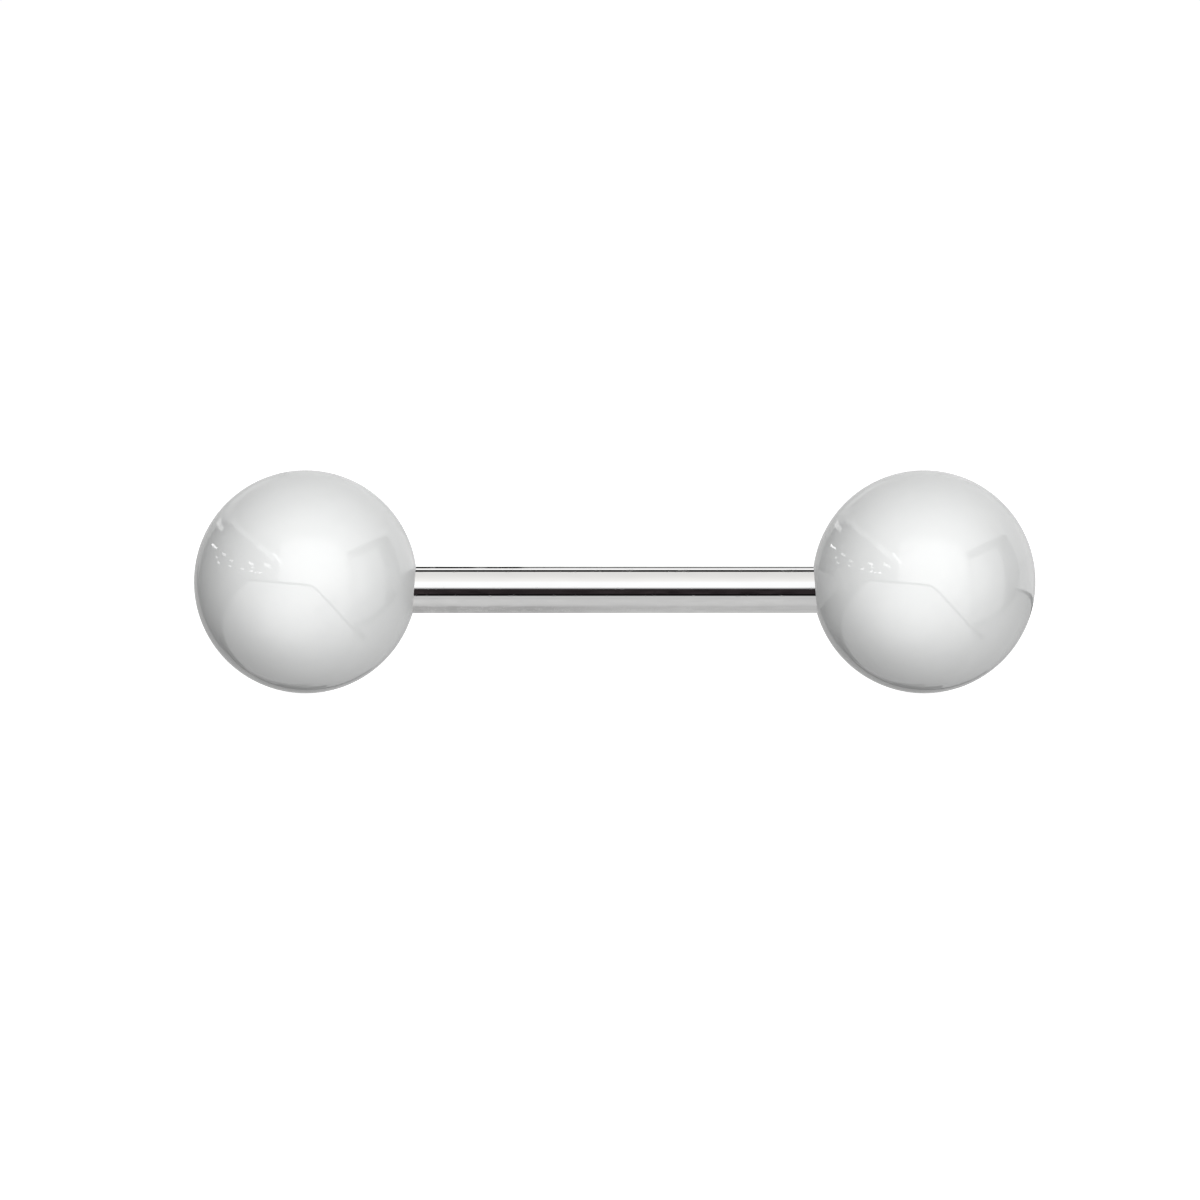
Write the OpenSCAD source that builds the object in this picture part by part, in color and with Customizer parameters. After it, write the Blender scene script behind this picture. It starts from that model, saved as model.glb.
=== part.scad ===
// Straight barbell for a pierced tongue. A polished steel bar carries a glossy
// white ball on the threaded stud at each of its ends. The barbell lies on its
// two balls: X runs along the bar, and z = 0 is the surface that it lies on.

/* [Balls] */
// Diameter of each ball
ball_d = 7.9; // [6:0.1:10]
// How far the bar's axis lies below the middle of the balls
hole_drop = 0.29; // [0:0.01:0.6]

/* [Bar] */
// Diameter of the bar
bar_d = 1.65; // [1.4:0.05:2.4]
// Clear length between the two balls, as the barbell is sold
worn_length = 14; // [8:0.5:20]
// Width of the bevel round each end of the bar
bar_bevel = 0.03; // [0.01:0.01:0.05]

/* [Thread] */
// Step from the side of the bar down to the crest of the thread
shoulder = 0.075; // [0.05:0.005:0.12]
// Distance from one turn of the thread to the next
pitch = 0.35; // [0.25:0.05:0.45]
// Height of the thread's ridge over its root
ridge_height = 0.19; // [0.12:0.01:0.24]
// Width of the flat crest of the ridge
crest_width = 0.05; // [0.02:0.01:0.08]
// Width of the flat between two turns of the ridge
root_width = 0.07; // [0.04:0.01:0.1]
// Length of the threaded stud at each end, from the shoulder to the tip
stud_length = 3.2; // [2.4:0.1:3.6]
// Length of the plain neck between the shoulder and the thread
neck_length = 0.3; // [0.2:0.05:0.5]
// Length of the cone at the tip of the stud
tip_cone = 0.18; // [0.1:0.02:0.3]

/* [Fits] */
// Gap all round the bar where its end is let into the ball
seat_gap = 0.015; // [0.01:0.005:0.05]
// Depth of the ball's flat seat below the rim of its mouth
seat_depth = 0.06; // [0.02:0.02:0.3]
// Gap between the bar's shoulder and the ball's seat
face_gap = 0.01; // [0.01:0.01:0.05]
// Gap all round the thread in the ball's hole
thread_gap = 0.03; // [0.02:0.01:0.06]
// Space between the tip of the stud and the bottom of the hole
tip_space = 0.4; // [0.2:0.1:0.8]

/* [Hidden] */
$fn = 96;

ball_r = ball_d / 2;
bar_r = bar_d / 2;
axis_z = ball_r - hole_drop;
ball_x = worn_length / 2 + ball_r;

// The seat is cut just deep enough to clear the far side of the mouth's rim.
mouth_r = bar_r + seat_gap;
seat_x = sqrt(pow(ball_r, 2) - pow(hole_drop + mouth_r, 2)) - seat_depth;
bar_end = ball_x - seat_x - face_gap;

crest_r = bar_r - shoulder;
root_r = crest_r - ridge_height;
hole_r = crest_r + thread_gap;
hole_depth = stud_length + tip_space;

// The ridge is swept in steps, and its foot is sunk into the core.
steps_per_turn = 18;
foot_depth = 0.05;
// Share of a turn over which the ridge rises at its start and falls at its end
fade_turns = 0.6;
ridge_start = bar_end + neck_length + pitch / 2;
ridge_end = bar_end + stud_length - pitch / 2;
ridge_turns = (ridge_end - ridge_start) / pitch;
ridge_steps = ceil(ridge_turns * steps_per_turn);

// Share of the full ridge that stands at a number of turns from its start.
function ridge_share(turns) =
    min(1, turns / fade_turns, (ridge_turns - turns) / fade_turns);

// One cross-section of the ridge: its foot, both edges of its crest, its foot.
function ridge_section(turns) =
    let (share = ridge_share(turns),
         x = ridge_start + turns * pitch,
         foot_r = root_r - foot_depth,
         top_r = root_r - foot_depth / 2 + share * (ridge_height + foot_depth / 2),
         foot_half = (pitch - root_width) / 2,
         top_half = crest_width / 2 + (1 - share) * (foot_half - crest_width / 2) / 2)
    [for (corner = [[-foot_half, foot_r], [-top_half, top_r],
                    [top_half, top_r], [foot_half, foot_r]])
        [x + corner[0],
         corner[1] * cos(360 * turns),
         corner[1] * sin(360 * turns)]];

module thread_ridge() {
    sections = [for (i = [0:ridge_steps]) ridge_section(ridge_turns * i / ridge_steps)];
    corners = len(sections[0]);
    points = [for (section = sections) for (point = section) point];
    sides = [for (i = [0:ridge_steps - 1]) for (j = [0:corners - 1])
        let (a = i * corners + j,
             b = i * corners + (j + 1) % corners)
        each [[a, b, b + corners], [a, b + corners, a + corners]]];
    caps = [[for (j = [corners - 1:-1:0]) j],
            [for (j = [0:corners - 1]) ridge_steps * corners + j]];
    polyhedron(points, concat(sides, caps), convexity = 10);
}

// One end of the bar, from its middle to the tip of its stud, as a turned
// outline about X with the thread's ridge added.
module bar_half() {
    outline = [[0, 0], [0, bar_r],
               [bar_end - bar_bevel, bar_r], [bar_end, bar_r - bar_bevel],
               [bar_end, root_r],
               [bar_end + stud_length - tip_cone, root_r],
               [bar_end + stud_length, root_r - tip_cone / 2],
               [bar_end + stud_length, 0]];
    rotate([0, 90, 0]) rotate([0, 0, 90]) rotate_extrude()
        polygon([for (p = outline) [p[1], p[0]]]);
    thread_ridge();
}

// Both ends carry a right-hand thread, so one half is turned and not mirrored.
module bar() {
    color("gainsboro") translate([0, 0, axis_z]) {
        bar_half();
        rotate([0, 0, 180]) bar_half();
    }
}

// A ball about its own middle, with its hole open towards -X.
module ball() {
    color("white") difference() {
        sphere(r = ball_r);
        translate([-seat_x, 0, -hole_drop]) rotate([0, -90, 0])
            cylinder(r = mouth_r, h = ball_r);
        translate([hole_depth - seat_x, 0, -hole_drop]) rotate([0, -90, 0])
            cylinder(r = hole_r, h = hole_depth + ball_r);
    }
}

module ball_right() {
    translate([ball_x, 0, ball_r]) ball();
}

module ball_left() {
    translate([-ball_x, 0, ball_r]) rotate([0, 0, 180]) ball();
}

bar();
ball_left();
ball_right();
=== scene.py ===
import math
import bpy
import numpy as np
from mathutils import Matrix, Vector


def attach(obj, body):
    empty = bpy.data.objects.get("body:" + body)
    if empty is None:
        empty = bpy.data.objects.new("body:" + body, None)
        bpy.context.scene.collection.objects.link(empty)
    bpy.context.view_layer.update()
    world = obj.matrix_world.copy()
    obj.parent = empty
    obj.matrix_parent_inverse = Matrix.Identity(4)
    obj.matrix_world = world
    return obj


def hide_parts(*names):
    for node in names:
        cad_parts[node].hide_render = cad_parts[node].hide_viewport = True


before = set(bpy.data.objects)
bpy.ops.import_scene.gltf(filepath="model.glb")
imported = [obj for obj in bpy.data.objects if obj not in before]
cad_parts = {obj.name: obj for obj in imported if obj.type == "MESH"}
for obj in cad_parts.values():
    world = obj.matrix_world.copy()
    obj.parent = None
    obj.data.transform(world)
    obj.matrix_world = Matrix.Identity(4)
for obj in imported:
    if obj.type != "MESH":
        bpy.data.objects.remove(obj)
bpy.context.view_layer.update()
mm = 0.001


# Small helpers for node trees. An input is a value or the socket that feeds it.
def addNode(tree, kind, inputs=None, **settings):
    node = tree.nodes.new(kind)
    for name, value in settings.items():
        setattr(node, name, value)
    for name, value in (inputs or {}).items():
        socket = node.inputs[name]
        if isinstance(value, bpy.types.NodeSocket):
            tree.links.new(value, socket)
        else:
            socket.default_value = value
    return node


def addMath(tree, operation, first, second=None, third=None):
    values = {i: v for i, v in enumerate((first, second, third)) if v is not None}
    return addNode(tree, "ShaderNodeMath", values, operation=operation).outputs[0]


def addRange(tree, value, low, high, newLow=0.0, newHigh=1.0):
    inputs = {"Value": value, "From Min": low, "From Max": high, "To Min": newLow, "To Max": newHigh}
    return addNode(tree, "ShaderNodeMapRange", inputs, interpolation_type="SMOOTHSTEP").outputs["Result"]


def addDot(tree, ray, vector):
    inputs = {0: ray, 1: tuple(float(v) for v in vector)}
    return addNode(tree, "ShaderNodeVectorMath", inputs, operation="DOT_PRODUCT").outputs["Value"]


# A Mix node has its own sockets for numbers, 2 and 3, and for colours, 6 and 7.
def blendValue(tree, amount, under, over):
    return addNode(tree, "ShaderNodeMix", {0: amount, 2: under, 3: over}, data_type="FLOAT").outputs[0]


def blendColour(tree, amount, under, over):
    return addNode(tree, "ShaderNodeMix", {0: amount, 6: under, 7: over}, data_type="RGBA").outputs[2]


def blendShader(tree, amount, under, over):
    return addNode(tree, "ShaderNodeMixShader", {0: amount, 1: under, 2: over}).outputs[0]


def emptyTree(owner):
    owner.use_nodes = True
    owner.node_tree.nodes.clear()
    return owner.node_tree


def addToScene(name, data):
    thing = bpy.data.objects.new(name, data)
    bpy.context.scene.collection.objects.link(thing)
    return thing


def colour(rgb):
    return (*rgb, 1.0)


# Sizes of a ball in mm, as its solid was drawn. The hole's axis lies holeDrop below the middle, mouth is the
# radius of the recess for the bar's end, and the rest is the finer form: rounded edges, the groove of the
# thread and how the groove runs out at both ends. Rings and around are counts of points.
ball = {
    "radius": 3.95, "holeDrop": 0.29, "mouth": 0.84, "seatDepth": 0.06, "hole": 0.78, "holeDepth": 3.6,
    "drillCone": 0.45, "rimRound": 0.014, "corner": 0.003,
    "groove": 0.08, "grooveHalf": 0.15, "grooveFlank": 0.12,
    "grooveStart": 0.2, "groovePast": 0.25, "grooveFade": 0.3,
    "around": 288, "shellRings": 150, "rimRings": 5, "holeRings": 150,
    "evenRate": 3,                        # points round the shell are evenly spaced after 1 / evenRate of it
}
# Sizes of the bar in mm, radii for crest and root. The stud's length takes in its neck and its coned tip.
bar = {
    "radius": 0.825, "clearLength": 14.0, "bevel": 0.03, "faceGap": 0.01,
    "crest": 0.75, "root": 0.56, "pitch": 0.35, "crestWidth": 0.05, "rootWidth": 0.07, "fadeTurns": 0.6,
    "stud": 3.2, "neck": 0.3, "tipCone": 0.18, "tipMiddle": 0.02, "corner": 0.004,
    "around": 128, "threadRings": 260, "shankRings": 60,
}

ballX = bar["clearLength"] / 2 + ball["radius"]
axisZ = ball["radius"] - ball["holeDrop"]
seatX = math.sqrt(ball["radius"] ** 2 - (ball["holeDrop"] + ball["mouth"]) ** 2) - ball["seatDepth"]
barEnd = ballX - seatX - bar["faceGap"]
ridgeStart = barEnd + bar["neck"] + bar["pitch"] / 2
ridgeTurns = (bar["stud"] - bar["neck"] - bar["pitch"]) / bar["pitch"]


# Rings are an array of rows x points round x 3. Neighbours are joined by quads, and a middle point
# closes each end, so the surface has no seam and no open pole.
def meshFromRings(name, rings, startPoint, endPoint, values, valueName):
    rows, around = rings.shape[:2]
    points = np.vstack([rings.reshape(-1, 3), startPoint, endPoint]) * mm
    index = np.arange(rows * around).reshape(rows, around)
    turned = np.roll(index, -1, axis=1)
    quads = np.stack([index[:-1], turned[:-1], turned[1:], index[1:]], -1).reshape(-1, 4)
    startFan = np.stack([np.full(around, rows * around), turned[0], index[0]], -1)
    endFan = np.stack([np.full(around, rows * around + 1), index[-1], turned[-1]], -1)
    mesh = bpy.data.meshes.new(name)
    mesh.from_pydata(points.tolist(), [], quads.tolist() + startFan.tolist() + endFan.tolist())
    a, b, c, d = (points[quads[:, i]] for i in range(4))
    volume = (a * np.cross(b, c)).sum() + (a * np.cross(c, d)).sum()
    if volume < 0:
        mesh.flip_normals()
    mesh.polygons.foreach_set("use_smooth", np.ones(len(mesh.polygons), bool))
    layer = mesh.attributes.new(valueName, "FLOAT", "POINT")
    layer.data.foreach_set("value", np.append(values.reshape(-1), [values[0, 0], values[-1, 0]]))
    return addToScene(name, mesh)


def smoothStep(t):
    t = np.clip(t, 0, 1)
    return t * t * (3 - 2 * t)


# Turns of the thread between its start and a place at x and angle turn, and how far along X the nearest
# crest is: the turns are (x - start) / pitch less the share of a turn that the angle makes.
def threadPlace(x, turn):
    turns = (x - ridgeStart) / bar["pitch"] - turn / (2 * math.pi)
    nearest = np.round(turns)
    return nearest + turn / (2 * math.pi), np.abs(turns - nearest) * bar["pitch"]


# Height of the thread from 0 at the root to 1 at the crest: a flank that is smoothed at both ends,
# times a share that rises over a part of a turn at the start and falls at the end.
def threadHeight(x, turn):
    along, away = threadPlace(x, turn)
    half = (bar["pitch"] - bar["rootWidth"]) / 2
    flank = (half - away) / (half - bar["crestWidth"] / 2)
    share = np.minimum(along, ridgeTurns - along) / bar["fadeTurns"]
    return smoothStep(flank) * smoothStep(share)


# Circles of given radii round the hole's axis, at given places along it, from the ball's middle
def circlesInBall(x, size, theta):
    x = np.atleast_1d(x)[:, None] + 0 * theta
    size = np.atleast_1d(size)[:, None] + 0 * theta
    return np.stack([x, size * np.cos(theta), size * np.sin(theta) - ball["holeDrop"]], -1)


# The shell goes from its far pole to the rim of the mouth. Each point is radius times (-cos p, sin p cos q,
# sin p sin q), where p runs from pi to the rim's own angle, and q turns from even steps into the rim's.
def ballShell(rim, theta):
    rimPolar = np.arctan2(np.hypot(rim[:, 1], rim[:, 2]), -rim[:, 0])
    rimTurn = np.unwrap(np.arctan2(rim[:, 2], rim[:, 1]))
    t = np.linspace(1, 0, ball["shellRings"] + 1)[1:, None]
    start = rimPolar + ball["rimRound"] / ball["radius"]
    polar = start + (math.pi - start) * t
    turn = rimTurn + (theta - rimTurn) * smoothStep(t * ball["evenRate"])
    around = np.stack([-np.cos(polar), np.sin(polar) * np.cos(turn), np.sin(polar) * np.sin(turn)], -1)
    return ball["radius"] * around


# The hole is a circle of the hole's radius plus the thread's groove, which winds as the bar's thread does
# and fades out before both of its ends.
def ballHole(theta):
    x = np.linspace(-seatX + ball["corner"], -seatX + ball["holeDepth"], ball["holeRings"])[:, None]
    fromEnd = x + ballX - barEnd
    opened = smoothStep((fromEnd - ball["grooveStart"]) / ball["grooveFade"])
    closed = smoothStep((bar["stud"] + ball["groovePast"] - fromEnd) / ball["grooveFade"])
    away = threadPlace(x + ballX, theta)[1]
    depth = smoothStep((ball["grooveHalf"] - away) / ball["grooveFlank"]) * opened * closed
    size = ball["hole"] + ball["groove"] * depth
    return np.stack([x + 0 * theta, size * np.cos(theta), size * np.sin(theta) - ball["holeDrop"]], -1)


# The ball is one closed surface: the shell, the rounded rim, which is a quadratic curve from the shell to the
# wall, the wall of the recess, the seat, the hole with its groove, and the cone that the drill left.
def makeBall(name, side):
    theta = np.linspace(0, 2 * math.pi, ball["around"], endpoint=False)
    y, z = ball["mouth"] * np.cos(theta), ball["mouth"] * np.sin(theta) - ball["holeDrop"]
    rim = np.stack([-np.sqrt(ball["radius"] ** 2 - y ** 2 - z ** 2), y, z], -1)
    shell = ballShell(rim, theta)
    wallTop = rim + np.array([ball["rimRound"], 0, 0])
    k = np.linspace(0, 1, ball["rimRings"] + 1)[1:, None, None]
    rounded = (1 - k) ** 2 * shell[-1] + 2 * k * (1 - k) * rim + k ** 2 * wallTop

    wallFoot = circlesInBall(-seatX - ball["corner"], ball["mouth"], theta)
    wallShare = np.array([0.5, 1.0])[:, None, None]       # half way down the wall and at its foot
    wall = wallTop + (wallFoot - wallTop) * wallShare
    seatRadii = [ball["mouth"] - ball["corner"], ball["hole"] + ball["corner"]]
    seat = circlesInBall([-seatX, -seatX], seatRadii, theta)
    bottom = -seatX + ball["holeDepth"]
    inward = np.array([0.01, 0.5, 0.97])                  # shares of the way down the cone
    cone = circlesInBall(bottom + inward * ball["drillCone"], ball["hole"] * (1 - inward), theta)
    rings = np.concatenate([shell, rounded, wall, seat, ballHole(theta), cone])
    machined = np.zeros(rings.shape[:2])
    machined[len(shell) + len(rounded):] = 1

    place = np.array([ballX, 0, ball["radius"]])
    turnRound = np.array([side, side, 1])                 # half a turn about Z for the left ball
    far = (np.array([ball["radius"], 0, 0]) + place) * turnRound
    tip = (np.array([bottom + ball["drillCone"], 0, -ball["holeDrop"]]) + place) * turnRound
    return meshFromRings(name, (rings + place) * turnRound, far, tip, machined, "machined")


# One end of the bar, from its bevel to its tip: the radius over x is the bevel, the shoulder, the root plus
# the thread's height, and the cone of the tip. The left end is the right end turned half round about Z,
# so both threads wind right-hand.
def barEndRings(side, theta):
    bevelShare = np.array([0, 0.9, 1.0])                  # shares of the way down the bevel
    shoulderX = np.append(barEnd - bar["bevel"] * (1 - bevelShare), barEnd)
    shoulderR = np.append(bar["radius"] - bar["bevel"] * bevelShare, bar["root"] + bar["corner"])
    studEnd = barEnd + bar["stud"] - bar["tipCone"]
    thread = np.linspace(barEnd + bar["corner"], studEnd, bar["threadRings"])
    local = theta if side > 0 else np.mod(math.pi - theta, 2 * math.pi)
    height = threadHeight(thread[:, None], local[None, :])
    threadR = bar["root"] + (bar["crest"] - bar["root"]) * height
    tipShare = np.array([0.35, 0.7, 1.0])                 # shares of the way down the tip's cone
    tipX = np.append(studEnd + tipShare * bar["tipCone"], studEnd + bar["tipCone"])
    tipR = np.append(bar["root"] - tipShare * bar["tipCone"] / 2, bar["tipMiddle"])
    x = side * np.concatenate([shoulderX, thread, tipX])[:, None] + 0 * theta
    size = np.concatenate([shoulderR[:, None] + 0 * theta, threadR, tipR[:, None] + 0 * theta])
    return np.stack([x, size * np.cos(theta), size * np.sin(theta) + axisZ], -1)


# The bar is one closed surface: an end, the plain shank and the other end.
def makeBar(name):
    theta = np.linspace(0, 2 * math.pi, bar["around"], endpoint=False)
    half = barEnd - bar["bevel"] - bar["corner"]
    x = np.linspace(-half, half, bar["shankRings"])[:, None] + 0 * theta
    y, z = bar["radius"] * np.cos(theta), bar["radius"] * np.sin(theta) + axisZ
    shank = np.stack([x, y + 0 * x, z + 0 * x], -1)
    right = barEndRings(1, theta)
    rings = np.concatenate([barEndRings(-1, theta)[::-1], shank, right])
    machinedRings = len(right) - 2                        # the bevel's first two rings are polished
    threaded = np.zeros(rings.shape[:2])
    threaded[:machinedRings] = 1
    threaded[-machinedRings:] = 1
    tip = np.array([barEnd + bar["stud"], 0, axisZ])
    return meshFromRings(name, rings, tip * np.array([-1, 1, 1]), tip, threaded, "threaded")


# Shared effects
def newGroup(name, inputs, output):
    group = bpy.data.node_groups.new(name, "ShaderNodeTree")
    for label, kind, value in inputs:
        socket = group.interface.new_socket(label, in_out="INPUT", socket_type=kind)
        if value is not None:
            socket.default_value = value
    group.interface.new_socket(output, in_out="OUTPUT", socket_type="NodeSocketFloat")
    given = addNode(group, "NodeGroupInput").outputs
    return group, given, addNode(group, "NodeGroupOutput")


# How the noise of each set of scratches is turned, in radians, and how far it is drawn out
scratchSets = [((0.3, 0.35, 0.7), 30.0), ((0.3, -0.9, -1.8), 22.0)]
scratchFade = 0.15                             # how gently the scratches come and go


# Scratches: sets of noise drawn out along one direction each, cut to their thin middle lines,
# and broken up by a coarse noise so that they come and go.
def scratchGroup():
    group, given, out = newGroup("fineScratches", [
        ("Place", "NodeSocketVector", None), ("Fineness", "NodeSocketFloat", 1.0),
        ("Width", "NodeSocketFloat", 0.02), ("Cover", "NodeSocketFloat", 0.5)], "Scratch")
    total = None
    for rotation, stretch in scratchSets:
        turned = addNode(group, "ShaderNodeMapping", {
            "Vector": given["Place"], "Rotation": rotation, "Scale": (1.0, stretch, 1.0)})
        lines = addNode(group, "ShaderNodeTexNoise", {
            "Vector": turned.outputs[0], "Scale": given["Fineness"], "Detail": 1.0, "Roughness": 0.4})
        off = addMath(group, "ABSOLUTE", addMath(group, "SUBTRACT", lines.outputs[0], 0.5))
        line = addRange(group, off, 0.0, given["Width"], 1.0, 0.0)
        total = line if total is None else addMath(group, "MAXIMUM", total, line)
    coarse = addNode(group, "ShaderNodeTexNoise", {
        "Vector": given["Place"], "Scale": given["Fineness"], "Detail": 2.0})
    low = addMath(group, "SUBTRACT", 1.0, given["Cover"])
    shown = addRange(group, coarse.outputs[0], low, addMath(group, "ADD", low, scratchFade))
    group.links.new(addMath(group, "MULTIPLY", total, shown), out.inputs["Scratch"])
    return group


mottleFine = {"size": 5.3, "share": 0.35}      # the fine noise against the coarse one


# Mottle: a coarse and a fine noise added together, drawn out along X by the given stretch, from 0 to 1.
def mottleGroup():
    group, given, out = newGroup("softMottle", [
        ("Place", "NodeSocketVector", None), ("Size", "NodeSocketFloat", 1.0),
        ("Stretch", "NodeSocketFloat", 1.0)], "Mottle")
    narrow = addMath(group, "DIVIDE", 1.0, given["Stretch"])
    scale = addNode(group, "ShaderNodeCombineXYZ", {"X": narrow, "Y": 1.0, "Z": 1.0}).outputs[0]
    drawn = addNode(group, "ShaderNodeVectorMath", {0: given["Place"], 1: scale}, operation="MULTIPLY")
    coarse = addNode(group, "ShaderNodeTexNoise", {
        "Vector": drawn.outputs[0], "Scale": given["Size"], "Detail": 2.0})
    fineSize = addMath(group, "MULTIPLY", given["Size"], mottleFine["size"])
    fine = addNode(group, "ShaderNodeTexNoise", {
        "Vector": drawn.outputs[0], "Scale": fineSize, "Detail": 3.0})
    coarsePart = addMath(group, "MULTIPLY", coarse.outputs[0], 1 - mottleFine["share"])
    both = addMath(group, "MULTIPLY_ADD", fine.outputs[0], mottleFine["share"], coarsePart)
    group.links.new(both, out.inputs["Mottle"])
    return group


# Sizes are how many spots go into a metre, heights and depths are in metres, and each range is where
# the mottle or the distance from a pit's middle goes from one tone to the other.
steelLook = {
    "base": (0.600, 0.598, 0.594), "dim": (0.575, 0.573, 0.570), "thread": (0.50, 0.495, 0.49),
    "toneRange": (0.35, 0.65), "roughRange": (0.35, 0.70), "roughLow": 0.008, "roughHigh": 0.016,
    "threadRough": 0.20, "scratchRough": 0.12, "scratchShow": 0.6,
    "mottleSize": 900, "mottleStretch": 5, "waveSize": 420, "waveStretch": 6, "waveHeight": 0.9e-6,
    "scratchFineness": 2600, "scratchWidth": 0.012, "scratchCover": 0.50,
    "pitSize": 9000, "pitRange": (0.05, 0.20), "pitDepth": 1.0e-6, "pitBump": 0.35,
}


# Polished steel: a grey mirror whose colour and roughness drift with a mottle drawn out along the bar, with
# fine scratches and tiny pits. Height is a long wave, less the pits or scratches. The thread is duller.
def makeSteel(scratches, mottle):
    look = steelLook
    steel = bpy.data.materials.new("polishedSteel")
    tree = emptyTree(steel)
    place = addNode(tree, "ShaderNodeTexCoord").outputs["Object"]
    cloud = addNode(tree, "ShaderNodeGroup", {
        "Place": place, "Size": look["mottleSize"], "Stretch": look["mottleStretch"]}, node_tree=mottle)
    wave = addNode(tree, "ShaderNodeGroup", {
        "Place": place, "Size": look["waveSize"], "Stretch": look["waveStretch"]}, node_tree=mottle)
    marks = addNode(tree, "ShaderNodeGroup", {
        "Place": place, "Fineness": look["scratchFineness"], "Width": look["scratchWidth"],
        "Cover": look["scratchCover"]}, node_tree=scratches).outputs[0]
    cells = addNode(tree, "ShaderNodeTexVoronoi", {"Vector": place, "Scale": look["pitSize"]})
    pits = addRange(tree, cells.outputs["Distance"], *look["pitRange"], 1.0, 0.0)
    onThread = addNode(tree, "ShaderNodeAttribute", attribute_name="threaded").outputs["Fac"]

    toneShare = addRange(tree, cloud.outputs[0], *look["toneRange"])
    tone = blendColour(tree, toneShare, colour(look["dim"]), colour(look["base"]))
    tone = blendColour(tree, onThread, tone, colour(look["thread"]))
    rough = addRange(tree, cloud.outputs[0], *look["roughRange"], look["roughHigh"], look["roughLow"])
    scratched = addMath(tree, "MULTIPLY", marks, look["scratchShow"])
    rough = blendValue(tree, scratched, rough, look["scratchRough"])
    rough = blendValue(tree, onThread, rough, look["threadRough"])
    low = addNode(tree, "ShaderNodeBump", {
        "Height": wave.outputs[0], "Distance": look["waveHeight"], "Strength": 1.0})
    fineHeight = addMath(tree, "SUBTRACT", 0.0, addMath(tree, "MAXIMUM", pits, marks))
    fine = addNode(tree, "ShaderNodeBump", {
        "Height": fineHeight, "Distance": look["pitDepth"], "Strength": look["pitBump"],
        "Normal": low.outputs[0]})
    shader = addNode(tree, "ShaderNodeBsdfPrincipled", {
        "Base Color": tone, "Roughness": rough, "Metallic": 1.0, "Normal": fine.outputs[0]})
    addNode(tree, "ShaderNodeOutputMaterial", {"Surface": shader.outputs[0]})
    return steel


acrylicLook = {
    "base": (0.856, 0.866, 0.861), "dim": (0.842, 0.852, 0.848), "hole": (0.79, 0.80, 0.79), "ior": 1.49,
    "toneRange": (0.35, 0.65), "skinRough": 0.0, "holeRough": 0.38, "scratchRough": 0.10,
    "scratchShow": 0.5, "mottleSize": 420, "waveSize": 260, "waveHeight": 3.0e-6,
    "scratchFineness": 900, "scratchWidth": 0.010, "scratchCover": 0.42,
    "toolMarks": 14000, "toolDepth": 2.0e-6, "toolBump": 0.5,
}


# Glossy acrylic: near-white with a faint mottle, and a smooth skin with a very low wave and a few hair
# scratches. The skin's roughness is exactly 0, which is how the studio's light tells it from the steel.
# The hole is duller and greyer, with the fine rings that a drill leaves, which are a sine along X.
def makeAcrylic(scratches, mottle):
    look = acrylicLook
    white = bpy.data.materials.new("whiteAcrylic")
    tree = emptyTree(white)
    place = addNode(tree, "ShaderNodeTexCoord").outputs["Object"]
    cloud = addNode(tree, "ShaderNodeGroup", {
        "Place": place, "Size": look["mottleSize"]}, node_tree=mottle)
    wave = addNode(tree, "ShaderNodeTexNoise", {"Vector": place, "Scale": look["waveSize"], "Detail": 1.0})
    marks = addNode(tree, "ShaderNodeGroup", {
        "Place": place, "Fineness": look["scratchFineness"], "Width": look["scratchWidth"],
        "Cover": look["scratchCover"]}, node_tree=scratches).outputs[0]
    inHole = addNode(tree, "ShaderNodeAttribute", attribute_name="machined").outputs["Fac"]
    axes = addNode(tree, "ShaderNodeSeparateXYZ", {0: place})
    turns = addMath(tree, "MULTIPLY", axes.outputs["X"], look["toolMarks"] * 2 * math.pi)
    rings = addMath(tree, "SINE", turns)

    toneShare = addRange(tree, cloud.outputs[0], *look["toneRange"])
    tone = blendColour(tree, toneShare, colour(look["dim"]), colour(look["base"]))
    tone = blendColour(tree, inHole, tone, colour(look["hole"]))
    scratched = addMath(tree, "MULTIPLY", marks, look["scratchShow"])
    rough = blendValue(tree, scratched, look["skinRough"], look["scratchRough"])
    rough = blendValue(tree, inHole, rough, look["holeRough"])
    low = addNode(tree, "ShaderNodeBump", {
        "Height": wave.outputs[0], "Distance": look["waveHeight"], "Strength": 1.0})
    fineHeight = addMath(tree, "MULTIPLY", rings, inHole)
    fine = addNode(tree, "ShaderNodeBump", {
        "Height": fineHeight, "Distance": look["toolDepth"], "Strength": look["toolBump"],
        "Normal": low.outputs[0]})
    shader = addNode(tree, "ShaderNodeBsdfPrincipled", {
        "Base Color": tone, "Roughness": rough, "IOR": look["ior"], "Normal": fine.outputs[0]})
    addNode(tree, "ShaderNodeOutputMaterial", {"Surface": shader.outputs[0]})
    return white


# Camera: a very long lens almost level with the barbell, so that both balls show the room alike.
# The aim is where its middle lies from the balls' middle. Lengths in mm, but the clipping in metres.
camera = {"lens": 800, "sensor": 36, "distance": 944.28, "elevation": 2.0, "aimX": -0.5205,
          "aimUp": -0.6445, "nearest": 0.01, "farthest": 10}


def makeCamera():
    e = math.radians(camera["elevation"])
    back = np.array([0, -math.cos(e), math.sin(e)])
    up = np.array([0, math.sin(e), math.cos(e)])
    lens = bpy.data.cameras.new("camera")
    lens.lens = camera["lens"]
    lens.sensor_width = camera["sensor"]
    lens.clip_start = camera["nearest"]
    lens.clip_end = camera["farthest"]
    holder = addToScene("camera", lens)
    middle = np.array([camera["aimX"], 0, ball["radius"]])
    holder.location = (middle + back * camera["distance"] + up * camera["aimUp"]) * mm
    holder.rotation_euler = (math.radians(90 - camera["elevation"]), 0, 0)
    bpy.context.scene.camera = holder
    bpy.context.scene.view_settings.view_transform = "Standard"


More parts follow.
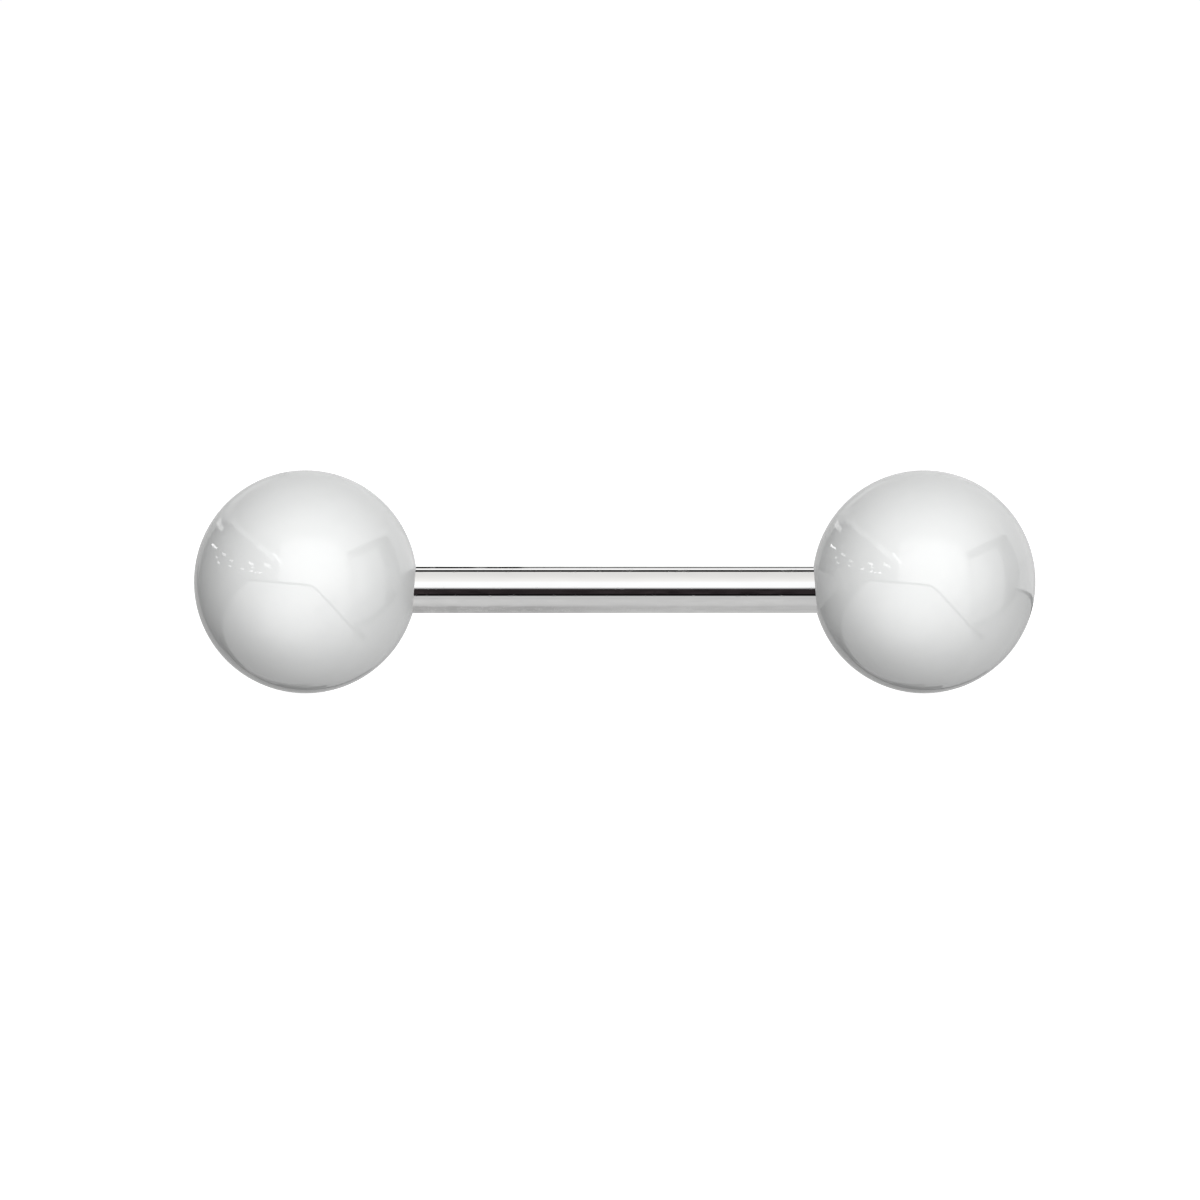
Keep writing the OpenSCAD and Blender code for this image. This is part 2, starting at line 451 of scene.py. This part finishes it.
# Studio. A direction has an azimuth, from the camera's side towards +X, and an elevation, in degrees.
def direction(azimuth, elevation):
    a, e = math.radians(azimuth), math.radians(elevation)
    return np.array([math.sin(a) * math.cos(e), -math.cos(a) * math.cos(e), math.sin(e)])


# Backdrop is what the camera sees, dull the even light on dull surfaces, and mirrored what the steel shows
# where a ball mirrors it.
studio = {"backdrop": 1.02, "dull": 0.033, "mirrored": 1.0}
# The bare room in reflections: an even light, and what is added to the left, right, front, back and top
room = {"even": 0.02, "sides": [((-1, 0, 0), 0.18), ((1, 0, 0), 0.90), ((0, -1, 0), 1.32),
                                ((0, 1, 0), 0.60), ((0, 0, 1), 1.03)]}
# Panels in reflections, each laid over those before it: corners, softness of the edges in degrees (the
# last one given holds for the rest), strength, how much is added towards the camera's side, and a glow:
# the azimuth and elevation of its middle, how wide it is and how much it adds there.
panels = {
    "softBox": {
        "corners": [(-27, -30), (-30, 45), (44, 38), (49, -30)],
        "soft": [1.5, 12, 8, 3], "strength": 1.90, "glow": (6, 20, 55, 1.4)},
    "leftScreen": {
        "corners": [(-27, -25), (-27, 17), (-95, 37.5), (-125, 33), (-147, 17), (-149, -5), (-158, -40),
                    (-91, -60)],
        "soft": [1.5, 1.5, 4, 3, 2, 2, 6, 2], "strength": 0.22, "towardFront": 0.8,
        "glow": (6, 20, 60, 0.75)},
    "rearLeft": {
        "corners": [(-122, 37), (-150, 45), (-172, 30), (-178, 0), (-172, -24), (-153, -28), (-142, -18),
                    (-144, 5), (-148, 18), (-128, 30)],
        "soft": [3], "strength": 0.62},
    "backRight": {
        "corners": [(118, -5), (119, 27), (150, 24), (170, 15), (172, -5)],
        "soft": [1.5, 12, 12, 12, 1.5], "strength": 0.62, "glow": (125, 10, 50, 0.75)},
    "rearTop": {
        "corners": [(-149, 4), (-150, 26), (-165, 30), (-172, 30), (-172, 4)],
        "soft": [2, 1.5, 1.5, 12, 20], "strength": 0.68, "glow": (-158, 32, 20, 0.6)},
    "rightFrame": {
        "corners": [(49, 29), (118.5, 26), (119, 6), (117, -2), (112, -5), (64, -38.5), (57, -36)],
        "soft": [1.5, 1.5, 1.5, 1.5, 1.5, 1.5, 3], "strength": 0.0, "glow": (120, 6, 24, 0.65)},
    "rightScreen": {
        "corners": [(51, 22), (93, 25), (93, -20), (65, -37.5), (54, -35)],
        "soft": [1.5, 1.0, 1.5, 1.5, 3], "strength": 0.90, "glow": (50, 5, 30, 0.8)},
    "rightGround": {
        "corners": [(64, -38.5), (112, -5), (179, -6), (179, -60), (100, -80)],
        "soft": [2], "strength": 0.62, "glow": (130, -45, 45, 0.5)},
    "table": {
        "corners": [(-66, 3), (7, -1.5), (14, -8), (64, -41), (94, -44.5), (112, -52), (152, -53),
                    (172, -44), (-171, -39.5), (-158, -31.5), (-126, -29), (-100, -17.5)],
        "soft": [1.5], "strength": 0.93, "towardFront": 1.7, "glow": (-22, -36, 38, 0.75)},
}
# Strokes of shade or light along a row of directions: points, width in degrees and strength
strokes = {
    "tableEdge": ([(-61, 2.8), (-5, -0.5), (7, -2), (14, -8), (64, -41)], 2.5, 0.0),
    "tableCorner": ([(64, -39.5), (95, -43.7)], 4.0, 0.0),
    "floorBand": ([(-168, -36.5), (180, -38.5), (172, -37)], 8.0, 0.20),
    "tableRear": ([(-124, -27.5), (-143, -26), (-152, -28), (-165, -32.3), (180, -33), (169, -25.7),
                   (165, -21)], 3.6, 0.1),
    "rearLine": ([(-152, 2), (-142, -17), (-145, -23)], 4.5, 0.30),
    "screenFoot": ([(65, -38.2), (82, -30.6), (92, -21.5), (111.5, -5.2)], 5.5, 0.0),
    "groundLine": ([(112, -5.1), (130, -5.7), (148, -5.8), (163, -5.2), (174, -4)], 1.7, 0.0),
    "trimWedge": ([(-124, 34), (-151, 24.5)], 6.0, 1.2),
    "leftTrim": ([(-126, 34), (-95, 38), (-74, 38.3), (-56, 33.7)], 4.0, 1.5),
    "leftTrimEnd": ([(-60, 35), (-40, 27.1), (-34, 23.5)], 5.5, 2.5),
    "lampOne": ([(-150, 17.6), (-127, 25.6)], 2.6, 1.8),
    "lampTwo": ([(-131, 15.6), (-117, 17.7)], 1.2, 5.0),
    "lampThree": ([(-37, 30), (-25, 20)], 3.2, 4.8),
    "lampFour": ([(-45, 18.8), (-37, 15.9)], 2.8, 4.5),
    "lampFive": ([(-64, 18), (-57, 16.4)], 1.9, 6.0),
}
# Across a stroke, the shares of its half width where its edge starts and ends, and the softness of its
# ends in degrees
strokeEdge = {"inner": 0.6, "outer": 1.2, "ends": 0.6}
# Small lamps far to the left: azimuth, elevation, length and strength
smallLamps = {"width": 1.5, "at": [
    (-101, 18, 8, 4), (-112, 13.5, 3.5, 3), (-105.5, 11.5, 5, 3.5), (-87, 16, 6, 3.5), (-87, 12, 4.5, 4.5),
    (-69.5, 11.7, 4.5, 5), (-57.5, 14, 3.5, 5), (-58, 10.6, 3.5, 6), (-53, 9.8, 2.5, 6),
    (-48, 9.9, 3.5, 6.5)]}


def halfSpace(tree, ray, normal, soft):
    width = math.radians(soft) / 2
    return addRange(tree, addDot(tree, ray, normal), -width, width)


# A panel is the product of one half space for each edge, whose plane goes through the edge and the middle.
def panelMask(tree, ray, corners, soft):
    points = [direction(*corner) for corner in corners]
    middle = sum(points)
    softness = (soft + [soft[-1]] * len(points))[:len(points)]
    mask = None
    for a, b, s in zip(points, points[1:] + points[:1], softness):
        normal = np.cross(a, b)
        normal = normal / np.linalg.norm(normal) * (1 if normal @ middle > 0 else -1)
        step = halfSpace(tree, ray, normal, s)
        mask = step if mask is None else addMath(tree, "MULTIPLY", mask, step)
    return mask


def panelStrength(tree, ray, panel, toFront):
    strength = panel["strength"]
    if "glow" in panel:
        azimuth, elevation, width, amount = panel["glow"]
        near = addDot(tree, ray, direction(azimuth, elevation))
        added = addRange(tree, near, math.cos(math.radians(width)), 1.0, 0.0, amount)
        strength = addMath(tree, "ADD", added, strength)
    if "towardFront" in panel:
        strength = addMath(tree, "MULTIPLY_ADD", toFront, panel["towardFront"], strength)
    return strength


# A stroke runs along the arc between two directions, and fades at its sides and ends.
def strokeMask(tree, ray, start, end, width):
    a, b = direction(*start), direction(*end)
    normal = np.cross(a, b)
    normal /= np.linalg.norm(normal)
    half = math.radians(width) / 2
    away = addMath(tree, "ABSOLUTE", addDot(tree, ray, normal))
    mask = addRange(tree, away, half * strokeEdge["inner"], half * strokeEdge["outer"], 1.0, 0.0)
    for edge in (np.cross(normal, a), -np.cross(normal, b)):
        mask = addMath(tree, "MULTIPLY", mask, halfSpace(tree, ray, edge, strokeEdge["ends"]))
    return mask


# Long bands and flags that only the steel shows, laid over the room in its soft-edged reflections.
# Angles in degrees round the X axis: 0 is the camera's side, 90 overhead, 180 behind and -90 below.
# Each has the angles where it starts and ends, the softness of its edges, its strength and, where it
# isn't even, how much is added towards the camera's side. A run limits it to a part of the bar's length,
# in mm along X as the camera sees it: where it starts and ends, and the softness of its ends.
# A tint colours it, a grain makes it uneven, and a waver moves its edges by up to so many degrees.
bands = {
    "overhead": {"angles": (8, 130), "soft": 2, "strength": 1.25, "towardFront": 0.56,
                 "tint": (1.0, 0.992, 0.976)},
    "softBoxLow": {"angles": (0, 43), "soft": 9, "strength": 1.68, "tint": (0.992, 1.0, 1.008)},
    "overheadRear": {"angles": (112, 170), "soft": 3, "strength": 1.60},
    "behind": {"angles": (142, 200), "soft": 30, "strength": 0.12},
    "behindLeft": {"angles": (139, 176), "soft": 4, "strength": 0.012, "run": (-9.0, -4.93, 0.3)},
    "behindMiddle": {"angles": (139, 176), "soft": 4, "strength": 0.012, "run": (-4.58, -3.27, 0.3)},
    "overheadLine": {"angles": (103.5, 120.5), "soft": 2, "strength": 0.01},
    "lowFront": {"angles": (-89, -20), "soft": 3, "strength": 0.80, "grain": 0.10, "waver": 9},
    "lowEdge": {"angles": (-36, -20), "soft": 4, "strength": 0.98},
    "lowMiddle": {"angles": (-80, -40), "soft": 26, "strength": 0.95, "grain": 0.10},
    "front": {"angles": (-27, 11), "soft": 13, "strength": 0.034, "tint": (1.15, 0.92, 0.98),
              "grain": 0.9},
    "frontFoot": {"angles": (-27, -18.5), "soft": 2, "strength": 0.006},
    "below": {"angles": (-186, -88), "soft": 5, "strength": 0.80, "grain": 0.12, "waver": 9},
    "belowLeft": {"angles": (-186, -88), "soft": 5, "strength": 0.63, "grain": 0.12, "waver": 9,
                  "run": (-9.0, -1.0, 3.5)},
}
# Size of the unevenness: mm along the bar and degrees round it
patch = {"length": 0.55, "turn": 22, "detail": 3.0, "spread": 4.0}


# How far a direction has turned from an angle round the X axis, from -pi to pi
def turnFrom(tree, ray, angle):
    middle = math.radians(angle)
    way = (0, -math.cos(middle), math.sin(middle))
    across = (0, math.sin(middle), math.cos(middle))
    return addMath(tree, "ARCTAN2", addDot(tree, ray, across), addDot(tree, ray, way))


# The unevenness is noise over the place along the bar and the angle round it, about from -1 to 1.
def patchNoise(tree, ray, along):
    length = addMath(tree, "MULTIPLY", along, camera["distance"] / patch["length"])
    turn = addMath(tree, "MULTIPLY", turnFrom(tree, ray, 0), 1 / math.radians(patch["turn"]))
    place = addNode(tree, "ShaderNodeCombineXYZ", {"X": length, "Y": turn})
    noise = addNode(tree, "ShaderNodeTexNoise", {
        "Vector": place.outputs[0], "Scale": 1.0, "Detail": patch["detail"]})
    return addMath(tree, "MULTIPLY_ADD", noise.outputs[0], patch["spread"], -patch["spread"] / 2)


# How far along X a direction goes for a place along the bar, for one metre from the camera's middle
def runPlace(x):
    return (x - camera["aimX"]) / camera["distance"]


def bandMask(tree, ray, band, along, uneven):
    low, high = band["angles"]
    half, soft = math.radians((high - low) / 2), math.radians(band["soft"] / 2)
    away = turnFrom(tree, ray, (low + high) / 2)
    if "waver" in band:
        away = addMath(tree, "MULTIPLY_ADD", uneven, math.radians(band["waver"]), away)
    mask = addRange(tree, addMath(tree, "ABSOLUTE", away), half - soft, half + soft, 1.0, 0.0)
    if "run" in band:
        start, end, blur = band["run"]
        for outer, inner in ((start - blur / 2, start + blur / 2), (end + blur / 2, end - blur / 2)):
            inside = addRange(tree, along, runPlace(outer), runPlace(inner))
            mask = addMath(tree, "MULTIPLY", mask, inside)
    return mask


def bandShade(tree, band, frontSquared, uneven):
    strength = band["strength"]
    if "towardFront" in band:
        strength = addMath(tree, "MULTIPLY_ADD", frontSquared, band["towardFront"], strength)
    if "grain" in band:
        strength = addMath(tree, "MULTIPLY_ADD", uneven, band["grain"] * strength, strength)
    tint = band.get("tint", (1.0, 1.0, 1.0))
    parts = [addMath(tree, "MULTIPLY", strength, share) for share in tint]
    return addNode(tree, "ShaderNodeCombineColor", dict(enumerate(parts))).outputs[0]


def addBands(tree, ray, light, toFront):
    along = addNode(tree, "ShaderNodeSeparateXYZ", {0: ray}).outputs["X"]
    uneven = patchNoise(tree, ray, along)
    frontSquared = addMath(tree, "POWER", toFront, 2.0)
    for band in bands.values():
        shade = bandShade(tree, band, frontSquared, uneven)
        light = blendColour(tree, bandMask(tree, ray, band, along, uneven), light, shade)
    return light


# The room: its bare light, then the panels, the strokes and the small lamps, each laid over the last
def roomLight(tree, ray, toFront):
    light = room["even"]
    for way, strength in room["sides"]:
        part = addMath(tree, "MAXIMUM", addDot(tree, ray, way), 0.0)
        light = addMath(tree, "MULTIPLY_ADD", part, strength, light)
    for panel in panels.values():
        strength = panelStrength(tree, ray, panel, toFront)
        mask = panelMask(tree, ray, panel["corners"], panel["soft"])
        light = blendValue(tree, mask, light, strength)
    for points, width, strength in strokes.values():
        for start, end in zip(points, points[1:]):
            light = blendValue(tree, strokeMask(tree, ray, start, end, width), light, strength)
    for azimuth, elevation, length, strength in smallLamps["at"]:
        start, end = (azimuth - length / 2, elevation), (azimuth + length / 2, elevation)
        mask = strokeMask(tree, ray, start, end, smallLamps["width"])
        light = blendValue(tree, mask, light, strength)
    return light


# The balls' smooth skin mirrors the room, the steel mirrors the room with the bands over it, dull surfaces
# get an even light, and the camera sees the backdrop.
def makeWorld():
    world = bpy.data.worlds.new("studioLight")
    world.cycles.sampling_method = "NONE"
    bpy.context.scene.world = world
    tree = emptyTree(world)
    ray = addNode(tree, "ShaderNodeTexCoord").outputs["Generated"]
    path = addNode(tree, "ShaderNodeLightPath").outputs
    toFront = addMath(tree, "MAXIMUM", addDot(tree, ray, (0, -1, 0)), 0.0)
    light = roomLight(tree, ray, toFront)
    again = addMath(tree, "GREATER_THAN", path["Glossy Depth"], 1.5)      # the second mirror on the way
    steelLight = addBands(tree, ray, light, toFront)
    steelLight = blendColour(tree, again, steelLight, colour((studio["mirrored"],) * 3))

    def background(shade, strength):
        return addNode(tree, "ShaderNodeBackground", {"Color": shade, "Strength": strength}).outputs[0]

    white = colour((1, 1, 1))
    shine = blendShader(tree, path["Is Singular Ray"], background(steelLight, 1.0), background(white, light))
    lit = blendShader(tree, path["Is Glossy Ray"], background(white, studio["dull"]), shine)
    seen = blendShader(tree, path["Is Camera Ray"], lit, background(white, studio["backdrop"]))
    addNode(tree, "ShaderNodeOutputWorld", {"Surface": seen})


# Broad lamps that light dull surfaces only: azimuth, elevation, and strength as a share of the light that
# makes a white surface facing them white
lamps = {
    "front": (5, 15, 0.315), "frontLow": (4, -15, 0.405), "leftTop": (-30, 50, 0.238),
    "right": (40, 15, 0.18), "above": (0, 85, 0.08), "below": (0, -70, 0.01),
    "backLeft": (-150, 0, 0.30), "backRight": (150, 0, 0.40), "backTop": (180, 25, 0.30),
}
lampAngle = 25                                            # how broad each lamp is, in degrees


def makeLamps():
    for name, (azimuth, elevation, strength) in lamps.items():
        lamp = bpy.data.lights.new(name, "SUN")
        lamp.energy = strength * math.pi
        lamp.angle = math.radians(lampAngle)
        holder = addToScene(name, lamp)
        toLamp = Vector(direction(azimuth, elevation))
        holder.rotation_euler = toLamp.to_track_quat("Z", "Y").to_euler()
        holder.visible_glossy = False


# The floor is a pale square, half as wide as given in metres, that is lit and also shines a little by itself.
floorLook = {"half": 1.5, "albedo": 0.50, "own": 0.92}


def makeFloor():
    h = floorLook["half"]
    mesh = bpy.data.meshes.new("floor")
    mesh.from_pydata([(-h, -h, 0), (h, -h, 0), (h, h, 0), (-h, h, 0)], [], [(0, 1, 2, 3)])
    floor = addToScene("floor", mesh)
    floor.visible_glossy = False
    floor.visible_diffuse = False
    floor.visible_shadow = False
    floor.visible_transmission = False
    paint = bpy.data.materials.new("paleFloor")
    tree = emptyTree(paint)
    matt = addNode(tree, "ShaderNodeBsdfDiffuse", {"Color": colour((floorLook["albedo"],) * 3)})
    own = addNode(tree, "ShaderNodeEmission", {"Strength": floorLook["own"]})
    both = addNode(tree, "ShaderNodeAddShader", {0: matt.outputs[0], 1: own.outputs[0]})
    addNode(tree, "ShaderNodeOutputMaterial", {"Surface": both.outputs[0]})
    mesh.materials.append(paint)


makeCamera()
makeWorld()
makeLamps()
makeFloor()
print("studio: camera, light and floor are in place")

scratches, mottle = scratchGroup(), mottleGroup()
steel, acrylic = makeSteel(scratches, mottle), makeAcrylic(scratches, mottle)
print("materials: polished steel and white acrylic")

# Each piece with the body it rides on, which is also the solid that it stands for, its slot and its finish
pieces = {
    "barSteel": ("bar", "polished_steel", steel),
    "ballLeftShell": ("ball_left", "white_acrylic", acrylic),
    "ballRightShell": ("ball_right", "white_acrylic", acrylic),
}
for name, (node, slot, material) in pieces.items():
    piece = makeBar(name) if node == "bar" else makeBall(name, -1 if node == "ball_left" else 1)
    piece.data.materials.append(material)
    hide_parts(node)
    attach(piece, node)
    print("piece:", name, len(piece.data.polygons), "faces")
